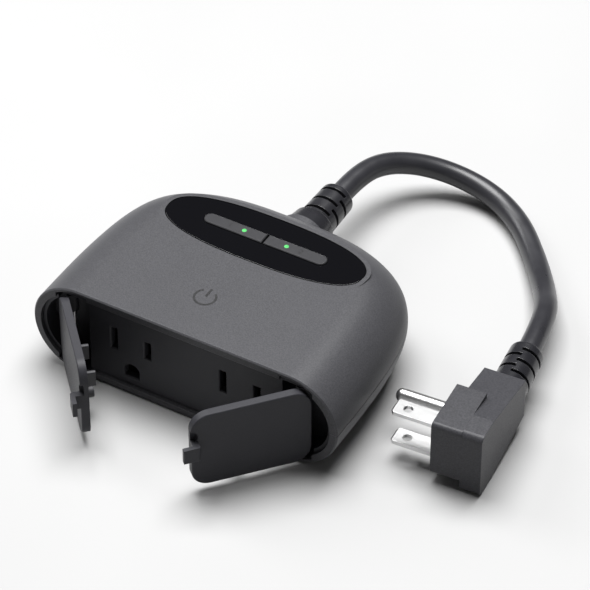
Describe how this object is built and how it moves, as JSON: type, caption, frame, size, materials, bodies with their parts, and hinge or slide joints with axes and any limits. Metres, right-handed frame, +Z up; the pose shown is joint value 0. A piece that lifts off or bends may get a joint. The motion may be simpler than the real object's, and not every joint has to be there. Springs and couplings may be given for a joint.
{
  "type": "smart plug",
  "caption": "Outdoor smart plug with a rounded flat body, hinged covers over its grounded outlets, a pair of top buttons, and a short cord to a flat grounded plug.",
  "frame": {"origin": "centre of the flat underside, midway between the two outlets", "axes": "+X across the outlets to the right as seen from the outlet side, +Y from the outlets to the cord, +Z up out of the button panel"},
  "size_m": [0.1575, 0.1806, 0.0365],
  "materials": {
    "shell_plastic": "finely grained moulded grey",
    "black_rubber": "matte",
    "face_plastic": "fine matte",
    "panel_gloss": "polished black",
    "button_satin": "satin dark grey",
    "green_light": "clear green, lit",
    "cover_plastic": "fine matte black",
    "seal_rubber": "matte",
    "pin_steel": "drawn",
    "inner_plastic": "plain black",
    "contact_brass": "stamped",
    "board_green": "solder mask",
    "relay_plastic": "plain",
    "power_plastic": "plain",
    "capacitor_sleeve": "shrink sleeve",
    "varistor_coat": "dipped",
    "fuse_ceramic": "plain",
    "wireless_metal": "stamped can",
    "terminal_plastic": "plain",
    "switch_metal": "stamped",
    "switch_plastic": "plain",
    "led_chip": "clear",
    "wire_black": "satin",
    "wire_white": "satin",
    "wire_green": "satin",
    "gland_rubber": "matte",
    "cord_rubber": "satin matte",
    "plug_plastic": "matte moulded",
    "relief_rubber": "matte",
    "blade_steel": "nickel plated",
    "screw_steel": "zinc plated"
  },
  "bodies": {
    "housing": {"upper_shell": "shell_plastic", "lower_shell": "shell_plastic", "shell_gasket": "black_rubber", "outlet_face": "face_plastic", "gloss_panel": "panel_gloss", "hinge_pin_left": "pin_steel", "hinge_pin_right": "pin_steel", "contact_carrier": "inner_plastic", "line_contact_left": "contact_brass", "line_contact_right": "contact_brass", "neutral_bus": "contact_brass", "ground_bus": "contact_brass", "main_board": "board_green", "relay_left": "relay_plastic", "relay_right": "relay_plastic", "power_module": "power_plastic", "capacitor": "capacitor_sleeve", "varistor": "varistor_coat", "fuse": "fuse_ceramic", "wireless_module": "wireless_metal", "terminal_block": "terminal_plastic", "control_board": "board_green", "switch_body_left": "switch_metal", "switch_body_right": "switch_metal", "led_left": "led_chip", "led_right": "led_chip", "line_wire": "wire_black", "neutral_wire": "wire_white", "ground_wire": "wire_green", "cord_gland": "gland_rubber", "cord": "cord_rubber", "plug_body": "plug_plastic", "plug_strain_relief": "relief_rubber", "blade_line": "blade_steel", "blade_neutral": "blade_steel", "plug_ground_pin": "blade_steel", "case_screws": "screw_steel", "board_screws": "screw_steel"},
    "cover_left_body": {"cover_left": "cover_plastic", "cover_seal_left": "seal_rubber"},
    "cover_right_body": {"cover_right": "cover_plastic", "cover_seal_right": "seal_rubber"},
    "button_left_body": {"button_left": "button_satin", "light_pipe_left": "green_light", "switch_plunger_left": "switch_plastic"},
    "button_right_body": {"button_right": "button_satin", "light_pipe_right": "green_light", "switch_plunger_right": "switch_plastic"}
  },
  "joints": [
    {"name": "cover_left_hinge", "type": "hinge", "parent": "housing", "child": "cover_left_body", "pos_m": [-0.0429, -0.0359, 0.018], "axis": [0, 0, -1], "range_deg": [-47.5, 31]},
    {"name": "cover_right_hinge", "type": "hinge", "parent": "housing", "child": "cover_right_body", "pos_m": [0.0429, -0.0359, 0.018], "axis": [0, 0, 1], "range_deg": [-49, 30]},
    {"name": "button_left_press", "type": "slide", "parent": "housing", "child": "button_left_body", "axis": [0, 0, -1], "range_m": [0, 0.0004], "stiffness_N_per_m": 400},
    {"name": "button_right_press", "type": "slide", "parent": "housing", "child": "button_right_body", "axis": [0, 0, -1], "range_m": [0, 0.0004], "stiffness_N_per_m": 400}
  ]
}
